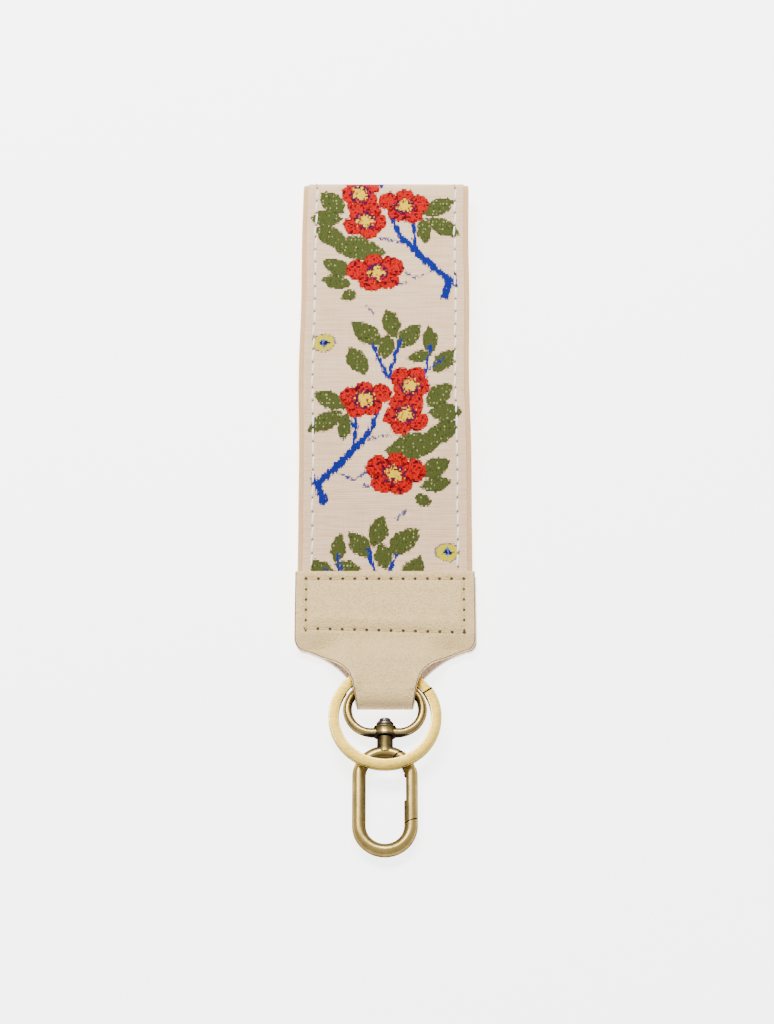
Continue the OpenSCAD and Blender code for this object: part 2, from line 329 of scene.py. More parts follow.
def strap_points(s, x, h):
    """Points on the strap: way along, place across and height over its inner face."""
    y, z = np.interp(s, line_s, line_y), np.interp(s, line_s, line_z)
    dy = np.interp(s + 0.4, line_s, line_y) - np.interp(s - 0.4, line_s, line_y)
    dz = np.interp(s + 0.4, line_s, line_z) - np.interp(s - 0.4, line_s, line_z)
    size = np.hypot(dy, dz)
    sway = 0.18 * np.sin(s * 0.061 + 0.8) + 0.1 * np.sin(s * 0.17)
    sway = sway * ease((s - 18) / 15) * ease((strap_len - s - 18) / 15)
    return np.stack([x + sway, y - dz / size * h, z + dy / size * h + 0 * x], -1)


def band(name, half, low, high, round_r, steps, across, dent, material):
    """A flat band with rounded edges along the strap."""
    s = np.linspace(0, strap_len, steps)[:, None]
    t = np.linspace(-1, 1, across)
    top = half * np.sin(t * math.pi / 2)
    edge = np.clip((np.abs(top) - (half - round_r)) / round_r, 0, 1)
    fall = (high - low) / 2 * (1 - np.sqrt(np.clip(1 - edge**2, 0, 1)))
    upper = high - fall - dent(top)
    lower = low + fall
    x = np.concatenate([top, top[-2:0:-1]])[None, :]
    h = np.concatenate([upper, lower[-2:0:-1]])[None, :]
    rings = strap_points(s + 0 * x, x + 0 * s, h + 0 * s)
    uv = np.stack([x + 0 * s, s + strap_start + 0 * x], -1)
    return loft(name, rings, uv, material=material)


finish = Finish("webbing")
uv = finish.node("UVMap", uv_map="weave")
u, v, _ = finish.split(uv)
rib = (u * 2.6 + abs((v * 0.9).math("FRACT") - 0.5) * 2.2).math("FRACT")
rib = abs(rib - 0.5) * 2
cloudy = finish.noise(uv, 0.35, 3)
weave = rib.step(0.1, 0.9)
finish.set(
    Base_Color=finish.mix(
        weave * 0.6 + cloudy * 0.3, rgb("ffd9a6"), rgb("e8ae78")
    ),
    Roughness=0.85,
    Normal=finish.bump(weave * -1 + finish.noise(uv, 4.0, 2) * 0.6, 0.0003, 0.75),
    Specular_IOR_Level=0.1,
)
webbing = band(
    "webbing_loop",
    webbing_w / 2,
    0,
    webbing_t,
    0.45,
    320,
    41,
    lambda x: 0 * x,
    finish.material,
)
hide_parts("strap_webbing")
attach(webbing, "strap")

# ---------------------------------------------------------------------------
# Ribbon: a fine beige jacquard sewn on the outside of the webbing.
# Its woven sprays of red flowers, olive leaves and blue twigs repeat about
# every 52 mm, mirrored each time.
finish = Finish("ribbon")
uv = finish.node("UVMap", uv_map="weave")
u, v, _ = finish.split(uv)
rough_edge = finish.noise(finish.join(u * 1.0, v * 0.55), 1.1, 2.5)
rough_edge2 = finish.noise(finish.join(u * 1.0 + 31.7, v * 0.55), 1.1, 2.5)
rows, ends = 0.42, 0.22
period, spray_start, cell_start = 52.4, 49.6, 48.3
cell = ((v - cell_start) / period).math("FLOOR")
side = (cell * 0.5).math("FRACT").step(0.4, 0.1) * 2 - 1
gu = (u / ends).math("FLOOR") * ends + ends / 2
gv = (v / rows).math("FLOOR") * rows + rows / 2
x = gu * side + (rough_edge - 0.5) * 1.9
y = gv - spray_start - cell * period + (rough_edge2 - 0.5) * 1.7
shape_of = {"point": finish.join(x, y)}


def after(value):
    """Works the next shape out after this one, which keeps few values alive."""
    shape_of["point"] = finish.node(
        "VectorMath", 0, {0: shape_of["point"], 1: value * 1e-9}, operation="ADD"
    )
    return value


def local(cx, cy, turn=0.0, sx=1.0, sy=1.0):
    """Coordinates about a place, turned and scaled."""
    m = finish.node(
        "Mapping",
        0,
        {
            "Vector": shape_of["point"],
            "Location": (cx, cy, 0),
            "Rotation": (0, 0, math.radians(turn)),
            "Scale": (sx, sy, 1),
        },
        vector_type="TEXTURE",
    )
    return finish.split(m)


def leaf(cx, cy, turn, length, width):
    """Below 0 inside a pointed leaf, about 1 mm per unit."""
    lx, ly, _ = local(cx, cy, turn, length / 2, width / 2)
    return (abs(ly) + lx * lx - 1) * (width / 2)


def petals(cx, cy, size, turn, sy=0.9):
    """Below 0 inside a five-petalled flower; also how far out, and the streaks."""
    lx, ly, _ = local(cx, cy, turn, size, size * sy)
    r = (lx * lx + ly * ly).math("SQRT")
    k = ly.math("ARCTAN2", lx) * (5 / (2 * math.pi)) + 0.5
    which = k.math("FLOOR")
    k = (k.math("FRACT") - 0.5) * (2 * math.pi / 5)
    long = (which * 2.4 + cx).math("SINE") * 0.11
    px = r * k.math("COSINE") - 0.56 - long
    py = r * k.math("SINE")
    d = (px * px * 0.9 + py * py * 0.9).math("SQRT") - 0.5 - long * 0.5
    seam = abs(k).step(0.5, 0.62) * r.step(0.3, 0.45)
    return d.low(r - 0.45) * size, r, seam


def stroke(x0, y0, x1, y1, width, width1=None):
    """Below 0 inside a straight stroke."""
    length = math.hypot(x1 - x0, y1 - y0)
    turn = math.degrees(math.atan2(y1 - y0, x1 - x0))
    lx, ly, _ = local((x0 + x1) / 2, (y0 + y1) / 2, turn)
    over = (abs(lx) - length / 2).high(0)
    half = width / 2
    if width1 is not None:
        half = lx * ((width1 - width) / 2 / length) + (width + width1) / 4
    return (over * over + ly * ly).math("SQRT") - half


def union(kind, shapes):
    """The union of many shapes of one kind, worked out one after another."""
    total = None
    for shape in shapes:
        d = kind(*shape)
        total = d if total is None else total.low(d)
        after(total)
    return total


leaves = union(
    leaf,
    [
        (11.4, 8.6, 28, 8.2, 4.6),
        (11.6, 4.6, 10, 7.2, 4.0),
        (8.6, 0.9, -24, 4.2, 3.2),
        (6.6, 13.9, 12, 14.0, 6.4),
        (13.0, 17.2, 32, 9.4, 5.0),
        (14.1, 22.2, 2, 8.0, 5.0),
        (12.8, 26.6, 46, 8.6, 5.0),
        (-12.6, 25.3, -28, 8.8, 4.6),
        (-13.8, 19.8, 30, 9.6, 4.4),
        (-9.3, 18.6, 84, 7.4, 3.4),
        (-6.2, 35.6, 118, 8.8, 4.8),
        (-4.2, 43.0, 138, 9.6, 5.2),
        (1.5, 45.6, 106, 8.4, 4.4),
        (5.7, 42.2, 52, 8.4, 4.6),
        (0.4, 39.4, 84, 7.0, 4.2),
        (8.4, 36.8, 14, 6.4, 3.2),
        (10.7, 41.3, 96, 7.8, 3.6),
        (14.0, 35.6, 48, 8.2, 4.4),
    ]
)
branch = union(
    stroke,
    [
        (-1.4, 22.4, -3.4, 17.4, 1.1),
        (-3.4, 17.4, -7.4, 12.8, 1.3, 1.8),
        (-7.4, 12.8, -11.6, 8.6, 1.7, 2.0),
        (-11.6, 8.6, -15.3, 5.0, 1.4, 1.9),
        (-15.3, 5.0, -14.2, 0.6, 1.7, 2.0),
        (-16.6, 7.0, -16.4, 3.6, 0.8),
        (-6.6, 22.6, -7.2, 13.6, 1.0),
        (1.0, 31.0, -2.6, 39.6, 0.9),
        (1.0, 31.0, 3.8, 41.0, 0.9),
        (9.6, 31.4, 10.8, 39.6, 0.8),
        (10.2, 33.0, 13.8, 36.4, 0.4),
    ]
)
twigs = union(
    stroke,
    [
        (-11.0, 7.6, -7.0, 5.6, 0.7),
        (-7.0, 5.6, -3.0, 8.6, 0.7),
        (-5.0, 4.4, -1.0, 3.4, 0.7),
        (-4.0, 15.4, 1.0, 16.6, 0.8),
        (-2.6, 48.4, -4.6, 50.6, 0.6),
    ]
)
flowers, inner, seams = None, None, None
for cx, cy, size, turn in (
    (-4.6, 25.6, 5.3, 20),
    (6.2, 29.0, 5.1, 64),
    (4.8, 21.6, 5.1, 40),
    (2.0, 7.2, 6.0, 8),
):
    d, r, seam = petals(cx, cy, size, turn)
    if flowers is None:
        flowers, inner, seams = d, r * size, seam
    else:
        front = flowers.step(0.1, -0.1)
        seams = (front * seams).high((front * -1 + 1) * seam)
        inner = inner.low(r * size)
        flowers = flowers.low(d)
    after(flowers + inner)

flecks = finish.node(
    "TexVoronoi",
    "Distance",
    {"Vector": finish.join(gu * 1.0, gv * 0.8), "Scale": 1.25, "Randomness": 0.4},
)
specks = finish.noise(finish.join(gu * 0.8, gv * 1.5), 1.9, 2.0, 0.65)
fine = finish.noise(finish.join(u * 1.0, v * 3.0), 3.0, 2.0, 0.6)

weft = (v * (2 * math.pi / rows)).math("SINE")
warp = (u * (2 * math.pi / ends)).math("SINE")
slub = finish.noise(finish.join(u * 0.12, v * 2.2), 1.0, 3.0, 0.6)
slub_v = finish.noise(finish.join(u * 2.4, v * 0.1), 1.0, 2.0, 0.6)
ground = finish.mix(slub.step(0.3, 0.75), rgb("f2d3ae"), rgb("deb68e"))
ground = finish.mix(slub_v.step(0.35, 0.8) * 0.3, ground, rgb("d2a67c"))

in_leaf = leaves.step(0.12, -0.12)
ragged = finish.noise(finish.join(gu * 2.4, gv * 0.35), 1.0, 2.0, 0.6)
in_branch = (branch + (ragged - 0.5) * 1.6).step(0.1, -0.1)
in_twig = twigs.step(0.1, -0.1) * specks.step(0.42, 0.5)
in_flower = flowers.step(0.12, -0.12)

leaf_colour = finish.mix(fine.step(0.3, 0.7), rgb("333a16"), rgb("52592a"))
leaf_colour = finish.mix(leaves.step(-0.5, -0.05) * 0.4, leaf_colour, rgb("272b0e"))
leaf_colour = finish.mix(flecks.step(0.24, 0.12) * 0.7, leaf_colour, rgb("b4b67c"))
leaf_colour = finish.mix(specks.step(0.60, 0.66) * 0.6, leaf_colour, rgb("1a1f0c"))
red = finish.mix(fine.step(0.35, 0.65), rgb("a00602"), rgb("cc1004"))
streak = finish.noise(finish.join(gu * 1.3 + gv * 0.5, gv * 1.9), 1.5, 1.5, 0.5)
red = finish.mix(streak.step(0.53, 0.6) * 0.6, red, rgb("3e0203"))
hatch = finish.noise(finish.join(gu * 0.5, gv * 2.4), 2.1, 1.5, 0.55)
dark_line = hatch.step(0.56, 0.61)
red = finish.mix(dark_line * 0.9, red, rgb("14041a"))
red = finish.mix(seams * specks.step(0.4, 0.5) * 0.85, red, rgb("200208"))
red = finish.mix(flowers.step(-0.5, -0.1) * 0.4, red, rgb("720503"))
ring_of = (inner - 2.1) * (inner - 2.1)
red = finish.mix(
    ring_of.step(0.8, 0.2) * specks.step(0.45, 0.53) * 0.9, red, rgb("1c1038")
)
heart = (inner + (specks - 0.5) * 6.5 + (rough_edge - 0.5) * 3.0).step(1.7, 1.3)
red = finish.mix(heart, red, rgb("d8b612"))
blue = finish.mix(fine.step(0.35, 0.7), rgb("0a1258"), rgb("1c2c96"))
violet = finish.mix(fine.step(0.4, 0.6), rgb("1c1c66"), rgb("4f4a86"))

dot_x, dot_y, _ = local(-14.2, 40.4, 0, 2.75, 2.35)
dot_r = (dot_x * dot_x + dot_y * dot_y).math("SQRT")
star = abs(dot_x) + abs(dot_y) * 1.25
dot_colour = finish.mix(fine.step(0.3, 0.7), rgb("bfac0c"), rgb("d0c028"))
dot_colour = finish.mix(star.step(0.62, 0.5), dot_colour, rgb("0d1650"))
dot_colour = finish.mix(
    abs(dot_x).step(0.1, 0.05) * star.step(0.66, 0.55), dot_colour, rgb("4a62b8")
)
dot_colour = finish.mix(
    abs(dot_r - 1.0).step(0.16, 0.06) * specks.step(0.4, 0.5), dot_colour, rgb("4e4470")
)

colour = finish.mix(in_leaf, ground, leaf_colour)
colour = finish.mix(in_twig, colour, violet)
colour = finish.mix(in_branch, colour, blue)
colour = finish.mix(in_flower, colour, red)
colour = finish.mix(dot_r.step(1.06, 1.0), colour, dot_colour)
worked = in_leaf.high(in_branch).high(in_flower).high(in_twig)

row_x, row_pitch = 16.6, 3.4
hole_v = (abs((v / row_pitch).math("FRACT") - 0.5) * -1 + 0.5) * row_pitch
hole_u = abs(u) - row_x
holes = (hole_u * hole_u + hole_v * hole_v * 0.6).math("SQRT").step(0.34, 0.14)
# Painted shade in the needle holes along the stitch rows.
colour = finish.mix(holes * 0.75, colour, rgb("3a2a20"))

height = (
    (weft * 0.25 + warp * 0.2) * (worked * -0.5 + 1)
    + worked * 1.1
    + (slub - 0.5) * 0.8
    + specks * worked * 0.9
    - holes * 2.0
)
finish.set(
    Base_Color=colour,
    Roughness=worked * -0.2 + 0.8,
    Normal=finish.bump(height, 0.00014, 0.6),
    Specular_IOR_Level=0.04,
)
ribbon = band(
    "ribbon_band",
    ribbon_w / 2,
    webbing_t,
    webbing_t + ribbon_t,
    0.2,
    320,
    61,
    lambda x: 0.1 * np.exp(-(((np.abs(x) - row_x) / 0.5) ** 2)),
    finish.material,
)
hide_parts("ribbon")
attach(ribbon, "strap")


# ---------------------------------------------------------------------------
# Ribbon stitching: two rows of cream thread that hold the ribbon on the
# webbing, one near each edge, all round the loop.
def thread_item(name, length, width, height, twist=0.0):
    """One stitch, rounded, ends dipping into its holes."""
    n, k = 7, 8
    t = np.linspace(-1, 1, n)[:, None]
    a = np.linspace(0, 2 * math.pi, k, endpoint=False)[None, :]
    full = np.sqrt(np.clip(1 - (t * 0.96) ** 4, 0, 1))
    rings = np.stack(
        [
            np.cos(a) * width / 2 * full + twist * t,
            t * length / 2 + 0 * a,
            np.sin(a) * height / 2 * full + height * 0.45 * (1 - t**2) - height * 0.3,
        ],
        -1,
    )
    rings[:, :, 1] -= fold_y * 1000
    item = loft(name, rings)
    bpy.context.scene.collection.objects.unlink(item)
    return item


def repeat(name, item, places, turns, material, seed=3):
    """Copies of an item at places, each turned, as one plain mesh."""
    points = bpy.data.meshes.new(name)
    co = np.asarray(places, float) / 1000
    co[:, 1] += fold_y
    points.from_pydata(co.tolist(), [], [])
    points.attributes.new("turn", "FLOAT_VECTOR", "POINT").data.foreach_set(
        "vector", np.asarray(turns, np.float32).ravel()
    )
    holder = bpy.data.objects.new(name, points)
    bpy.context.scene.collection.objects.link(holder)
    group = bpy.data.node_groups.new(name, "GeometryNodeTree")
    group.interface.new_socket("Points", in_out="INPUT", socket_type="NodeSocketGeometry")
    shape = group.interface.new_socket("Item", in_out="INPUT", socket_type="NodeSocketObject")
    cloth = group.interface.new_socket("Finish", in_out="INPUT", socket_type="NodeSocketMaterial")
    vary = group.interface.new_socket("Vary", in_out="INPUT", socket_type="NodeSocketFloat")
    group.interface.new_socket("Mesh", in_out="OUTPUT", socket_type="NodeSocketGeometry")
    new = group.nodes.new
    link = group.links.new
    start, end = new("NodeGroupInput"), new("NodeGroupOutput")
    turn = new("GeometryNodeInputNamedAttribute")
    turn.data_type = "FLOAT_VECTOR"
    turn.inputs["Name"].default_value = "turn"
    info = new("GeometryNodeObjectInfo")
    size = new("FunctionNodeRandomValue")
    size.data_type = "FLOAT"
    size.inputs["Seed"].default_value = seed
    low = new("ShaderNodeMath")
    low.operation = "SUBTRACT"
    low.inputs[0].default_value = 1.0
    high = new("ShaderNodeMath")
    high.inputs[0].default_value = 1.0
    put = new("GeometryNodeInstanceOnPoints")
    real = new("GeometryNodeRealizeInstances")
    dress = new("GeometryNodeSetMaterial")
    link(start.outputs["Vary"], low.inputs[1])
    link(start.outputs["Vary"], high.inputs[1])
    floats = [s for s in size.inputs if s.enabled and s.type == "VALUE"]
    link(low.outputs[0], floats[0])
    link(high.outputs[0], floats[1])
    link(start.outputs["Item"], info.inputs["Object"])
    link(start.outputs["Points"], put.inputs["Points"])
    link(info.outputs["Geometry"], put.inputs["Instance"])
    link(turn.outputs[0], put.inputs["Rotation"])
    link(next(s for s in size.outputs if s.enabled), put.inputs["Scale"])
    link(put.outputs[0], real.inputs[0])
    link(real.outputs[0], dress.inputs[0])
    link(start.outputs["Finish"], dress.inputs["Material"])
    link(dress.outputs[0], end.inputs[0])
    modifier = holder.modifiers.new("repeat", "NODES")
    modifier.node_group = group
    modifier[shape.identifier] = item
    modifier[cloth.identifier] = material
    modifier[vary.identifier] = 0.07
    bpy.context.view_layer.update()
    depsgraph = bpy.context.evaluated_depsgraph_get()
    plain = bpy.data.meshes.new_from_object(holder.evaluated_get(depsgraph))
    plain.polygons.foreach_set("use_smooth", np.ones(len(plain.polygons), bool))
    bpy.data.objects.remove(holder)
    result = bpy.data.objects.new(name, plain)
    bpy.context.scene.collection.objects.link(result)
    return result


finish = Finish("ribbon_thread")
where = finish.node("TexCoord", "Object")
strand = finish.noise(where, 2600, 2)
finish.set(
    Base_Color=finish.mix(strand.step(0.35, 0.65), rgb("fff6e4"), rgb("ffffff")),
    Roughness=0.8,
    Normal=finish.bump(strand, 0.00008, 0.5),
)
stitch = thread_item("row_stitch", 2.9, 0.46, 0.40, 0.07)
tab_cover = 15.9
first_gap = math.ceil(tab_cover / row_pitch)
last_gap = int((strap_len - tab_cover) / row_pitch)
for name, side_x in (("left", -row_x), ("right", row_x)):
    s = (np.arange(first_gap, last_gap) + 0.5) * row_pitch - strap_start % row_pitch
    wander = 0.1 * np.sin(s * 0.9) + 0.06 * np.sin(s * 2.3)
    at = strap_points(s, side_x + wander, webbing_t + ribbon_t - 0.02 + 0 * s)
    near = strap_points(s - 0.5, side_x + 0 * s, 0 * s)
    far = strap_points(s + 0.5, side_x + 0 * s, 0 * s)
    tilt = np.arctan2(far[:, 2] - near[:, 2], far[:, 1] - near[:, 1])
    lean = np.stack([tilt, 0 * s, 0.05 * np.sin(s * 1.7)], -1)
    row = repeat("stitch_row_" + name, stitch, at, lean, finish.material)
    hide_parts("ribbon_stitch_" + name)
    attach(row, "strap")

# ---------------------------------------------------------------------------
# Leather tab: one piece of pebbled leather folded round the bail and the ring,
# sewn shut over the strap ends. Its neck is narrow at the fold, and the lower
# corners are only the two layers of leather.
tab_half, tab_end, eye_top, fold_r, leather_t = 20.35, 32.5, 5.4, 3.2, 1.0


def half_width(y):
    """Half width of the tab at a distance from the fold."""
    y = np.asarray(y, float)
    neck = np.interp(y, [0, 2.5, 5.0, 6.3], [6.25, 6.75, 7.35, 7.9])
    curve = 23.7 - np.sqrt(np.clip(19.4**2 - (y + 4.7) ** 2, 0, None))
    corner = 17.95 + 2.4 * np.sqrt(np.clip(1 - ((16.3 - y) / 2.4) ** 2, 0, 1))
    full = np.where(y > 16.3, tab_half, corner)
    return np.where(y < 6.3, neck, np.where(y < 13.9, curve, full))


rear_y = np.concatenate(
    [
        np.linspace(tab_end, 16.5, 26),
        np.linspace(16.2, 13.9, 14),
        np.linspace(13.7, fold_r, 40),
    ]
)
front_y = np.concatenate(
    [
        np.linspace(fold_r, 13.7, 50),
        np.linspace(13.9, 16.2, 16),
        np.linspace(16.5, tab_end, 70),
    ]
)
turn_a = np.linspace(-math.pi / 2, -3 * math.pi / 2, 26)[1:-1]
outer_y = np.concatenate([rear_y, fold_r + fold_r * np.cos(turn_a), front_y])
inner_y = np.concatenate(
    [rear_y, fold_r + (fold_r - leather_t) * np.cos(turn_a), front_y]
)
drop = ease((front_y - 9.5) / 7.0)
front_top = eye_top + leather_t + (4.5 - eye_top - leather_t) * drop
outer_z = np.concatenate([0 * rear_y, fold_r + fold_r * np.sin(turn_a), front_top])
inner_z = np.concatenate(
    [
        leather_t + 0 * rear_y,
        fold_r + (fold_r - leather_t) * np.sin(turn_a),
        front_top - leather_t,
    ]
)
frontness = np.concatenate([0 * rear_y, 0 * turn_a, 1 + 0 * front_y])
across = 97
t = np.sin(np.linspace(-1, 1, across) * math.pi / 2)
half = half_width(outer_y)
shift = np.where(frontness > 0, 0.0, 0.35) * ease((outer_y - 3) / 8)
x_top = half[:, None] * t[None, :]
Y = outer_y[:, None] + 0 * x_top
box_x, box_high, box_mid_low = 17.8, 30.5, 17.75
box_slope, corner_z = -0.028, 2.35


def box_low(x):
    """Lower line of the stitched rectangle, slightly off square."""
    return box_mid_low + box_slope * x


def eye_room(x, y):
    """The front layer stands off a little at the eye's sides, where the ring lies."""
    return 0.9 * ease((np.abs(x) - 4.6) / 2.2) * np.exp(-(((y - 4.6) / 2.4) ** 2))


def corner_share(x, y):
    """1 where the lower corners are only the two layers of leather."""
    return ease((np.abs(x) - 8.5) / 6.5) * ease((17.2 - y) / 3.4)


def panel(x, y):
    """Signed distance to the stitched rectangle, above 0 inside."""
    return np.minimum(np.minimum(box_x - np.abs(x), box_high - y), y - box_low(x))


def front_shape(x, y):
    """Change of the front layer's height: lower corners, puff and stitch line."""
    change = (corner_z - np.interp(y, front_y, front_top)) * corner_share(x, y)
    d = panel(x, y)
    low_roll = 0.3 * np.exp(-(((y - box_low(x) - 2.3) / 1.1) ** 2)) * ease(d / 1.5)
    puff = 0.5 * (1 - np.exp(-np.clip(d, 0, None) / 1.3)) + low_roll
    rim = 0.28 * (1 - np.exp(-np.clip(-d, 0, None) / 0.7)) * ease((y - 15) / 3)
    rim = rim * np.exp(-np.clip(-d - 1.2, 0, None) / 1.5)
    line = 0.26 * np.exp(-((d / 0.42) ** 2))
    wrinkle = 0.05 * np.sin(y * 4.1 + 0.6 * np.sin(x * 0.7))
    wrinkle = wrinkle * np.exp(-(((y - 3.4) / 2.0) ** 2))
    sag = -0.12 * np.sin(np.clip(x / 18, -1, 1) * 2.2 + 0.4) * ease((d - 1) / 3)
    return change + puff + rim - line + wrinkle + sag + eye_room(x, y)


change = front_shape(x_top, Y) * frontness[:, None]
edge_w = 0.34
edge = np.clip((np.abs(x_top) - (half[:, None] - edge_w)) / edge_w, 0, 1)
fall = leather_t * 0.42 * (1 - np.sqrt(np.clip(1 - edge**2, 0, 1)))
lip = (frontness * outer_y)[:, None] + 0 * x_top
end_fall = 0.35 * ease((lip - (tab_end - 0.5)) / 0.5)
nz_y = np.gradient(outer_z)
nz_z = -np.gradient(outer_y)
size = np.hypot(nz_y, nz_z)
out_y, out_z = -nz_y / size, -nz_z / size
if out_z[0] > 0:
    out_y, out_z = -out_y, -out_z
top = np.stack(
    [
        x_top + shift[:, None],
        Y - out_y[:, None] * fall,
        outer_z[:, None] + change - out_z[:, None] * fall - end_fall,
    ],
    -1,
)
low_change = frontness[:, None] * (
    (corner_z - np.interp(Y, front_y, front_top)) * corner_share(x_top, Y)
    + eye_room(x_top, Y)
)
bottom = np.stack(
    [
        x_top + shift[:, None],
        inner_y[:, None] + out_y[:, None] * fall,
        inner_z[:, None] + low_change + out_z[:, None] * fall,
    ],
    -1,
)
rings = np.concatenate([top, bottom[:, -2:0:-1]], 1)
rings[:, :, 1] -= 0.65 * (1 - ease(rings[:, :, 1] / 8))
path = np.concatenate([[0], np.cumsum(np.hypot(np.diff(outer_y), np.diff(outer_z)))])
front_path = path - path[len(rear_y) + len(turn_a)] + front_y[0]
uv_y = np.where(frontness > 0, outer_y, front_path)[:, None] + 0 * x_top
uv = np.stack([x_top, uv_y], -1)
uv = np.concatenate([uv, uv[:, -2:0:-1]], 1)
rim_mark = np.exp(-(((np.abs(x_top) - (half[:, None] - 0.17)) / 0.1) ** 2))
marks = np.concatenate([rim_mark, np.zeros_like(rim_mark[:, -2:0:-1])], 1)

finish = Finish("leather")
where = finish.node("UVMap", uv_map="weave")
u, v, _ = finish.split(where)
grain = finish.node(
    "TexVoronoi",
    "Distance",
    {"Vector": finish.join(u * 1.0, v * 1.25), "Scale": 1.9, "Randomness": 0.9},
)
grain2 = finish.node(
    "TexVoronoi",
    "Distance",
    {"Vector": finish.join(u * 1.0 + 7.0, v * 1.2), "Scale": 3.6, "Randomness": 1.0},
)
soft = finish.noise(where, 0.22, 2)
pits = finish.noise(where, 2.4, 3, 0.6)
line_y0 = u * box_slope + box_mid_low
across_n, along_n = 13, 5
pitch_x = 2 * box_x / across_n
mid_u = abs(((u / pitch_x) + 0.5).math("FRACT") - 0.5)
mid_u = (mid_u * -1 + 0.5) * pitch_x
pitch_y = (box_high - box_mid_low) / along_n
side_v = abs(((v - box_mid_low) / pitch_y).math("FRACT") - 0.5)
side_v = (side_v * -1 + 0.5) * pitch_y


def dots(a, b, inside):
    """Needle holes, where both distances are near 0."""
    return ((a * a + b * b).math("SQRT")).step(0.46, 0.24) * inside


within_x = abs(u).step(box_x + 0.7, box_x + 0.3)
within_y = (v - 17.2).step(-0.2, 0.2) * v.step(box_high + 0.6, box_high + 0.2)
holes = (
    dots(mid_u, (v - box_high) * 1.1, within_x)
    .high(dots(mid_u, (v - line_y0) * 1.1, within_x))
    .high(dots((abs(u) - box_x) * 1.5, side_v, within_y))
)
on_rim = finish.node("Attribute", "Fac", attribute_name="rim")
skin = finish.mix(soft.step(0.3, 0.7), rgb("fbe0a0"), rgb("f2d392"))
skin = finish.mix(grain.step(0.0, 0.5) * 0.22, rgb("e6c486"), skin)
skin = finish.mix(grain.step(0.25, 0.55) * 0.3, skin, rgb("dfbb7e"))
# Painted shade in the needle holes of the stitched rectangle.
skin = finish.mix(holes * 0.95, skin, rgb("2c1f12"))
skin = finish.mix(v.step(-4.5, -7.5) * 0.85, skin, rgb("ecdacb"))
skin = finish.mix(on_rim.step(0.15, 0.7) * 0.95, skin, rgb("3d2d30"))
finish.set(
    Base_Color=skin,
    Roughness=pits * 0.2 + 0.48,
    Normal=finish.bump(
        grain.step(0.6, 0.0) * 0.8
        + grain2.step(0.5, 0.0) * 0.35
        + pits * 0.3
        - holes * 2.5,
        0.00026,
        0.85,
    ),
    Specular_IOR_Level=0.4,
)
leather = loft("leather_fold", rings, uv, {"rim": marks}, material=finish.material)
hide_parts("leather_tab")
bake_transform(leather)

# ---------------------------------------------------------------------------
# Tab stitching: a rectangle of beige thread through both layers and the strap.
finish = Finish("tab_thread")
where = finish.node("TexCoord", "Object")
strand = finish.noise(where, 2400, 2)
finish.set(
    Base_Color=finish.mix(strand.step(0.35, 0.65), rgb("bb9f62"), rgb("dcc48c")),
    Roughness=0.75,
    Normal=finish.bump(strand, 0.00008, 0.5),
)
stitch = thread_item("tab_stitch", pitch_x * 0.86, 0.5, 0.42, 0.12)
spots = []
for i in range(across_n):
    x = (i - (across_n - 1) / 2) * pitch_x
    spots += [(x, y, math.pi / 2) for y in (box_high, box_low(x))]
for i in range(along_n):
    y = box_mid_low + (i + 0.5) * pitch_y
    spots += [(x, y, 0.0) for x in (-box_x, box_x)]
places, turns = [], []
for x, y, turn in spots:
    z = np.interp(y, front_y, front_top) + front_shape(np.array(x), np.array(y))
    places.append((x, y, float(z) + 0.04))
    turns.append((0, 0, turn + (0.12 if turn else 0.1)))
for x, y, turn in spots:
    places.append((x, y, 0.32))
    turns.append((math.pi, 0, turn))
tab_thread = repeat("tab_thread", stitch, places, turns, finish.material)
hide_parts("tab_stitching")
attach(tab_thread, "strap")

# ---------------------------------------------------------------------------
# Swivel bail: a bent wire link whose bar lies in the leather fold, with a
# collar in which the hook turns. Antique brass, lighter on top and darker on
# its sides and inside: partly rubbed wear and patina, partly painted light and shade.
def brass(name, bright, dull, dark, side=None, rough=0.3):
    """Antique brass: lighter on top and dark at the sides and in the recesses, partly rubbed wear
    and patina, partly painted light and shade.
    """
    finish = Finish(name)
    where = finish.node("TexCoord", "Object")
    normal = finish.node("TexCoord", "Normal")
    _, _, up = finish.split(normal)
    cloud = finish.noise(where, 420, 3, 0.6)
    scratch = finish.noise(where, 3200, 2, 0.6)
    # Painted light and shade: faces turned up or down get the bright colour, side faces the dark
    # one; partly real rubbed wear.
    wear_and_shading = abs(up) * 0.72 + 0.06 + (cloud - 0.5) * 0.5
    if side:
        wear_and_shading = wear_and_shading + side(finish, where)
    tone = finish.mix(wear_and_shading.step(0.05, 0.5), dark, dull)
    tone = finish.mix(wear_and_shading.step(0.45, 0.95), tone, bright)
    finish.set(
        Base_Color=tone,
        Metallic=0.96,
        Specular_Tint=(0.45, 0.38, 0.28, 1),
        Roughness=wear_and_shading.step(1.0, 0.1) * 0.22 + rough + (scratch - 0.5) * 0.1,
        Normal=finish.bump(scratch, 0.00002, 0.4),
    )
    return finish.material


def link_side(end_a, end_b, radius, wire_r, gain):
    """Lighter on the outside of a link, darker on its inside: painted light and shade, partly the
    patina of antique brass.
    """

    def shade(finish, where):
        x, y, z = finish.split(where)
        y = (y - fold_y) * 1000
        x = x * 1000
        far_a = (abs(x) - end_a[0]).high(0)
        dy = (y - end_a[1]).high(0) + (y - end_b[1]).low(0)
        r = (far_a * far_a + dy * dy).math("SQRT")
        on_stem = y.step(-10.9, -9.6) * y.step(-6.4, -6.7)
        # Painted shade on the link's inner side and painted light on its outer side; the stem is
        # made darker.
        return ((r - radius) / wire_r).low(0.25).high(-1) * gain - on_stem * 0.5

    return shade


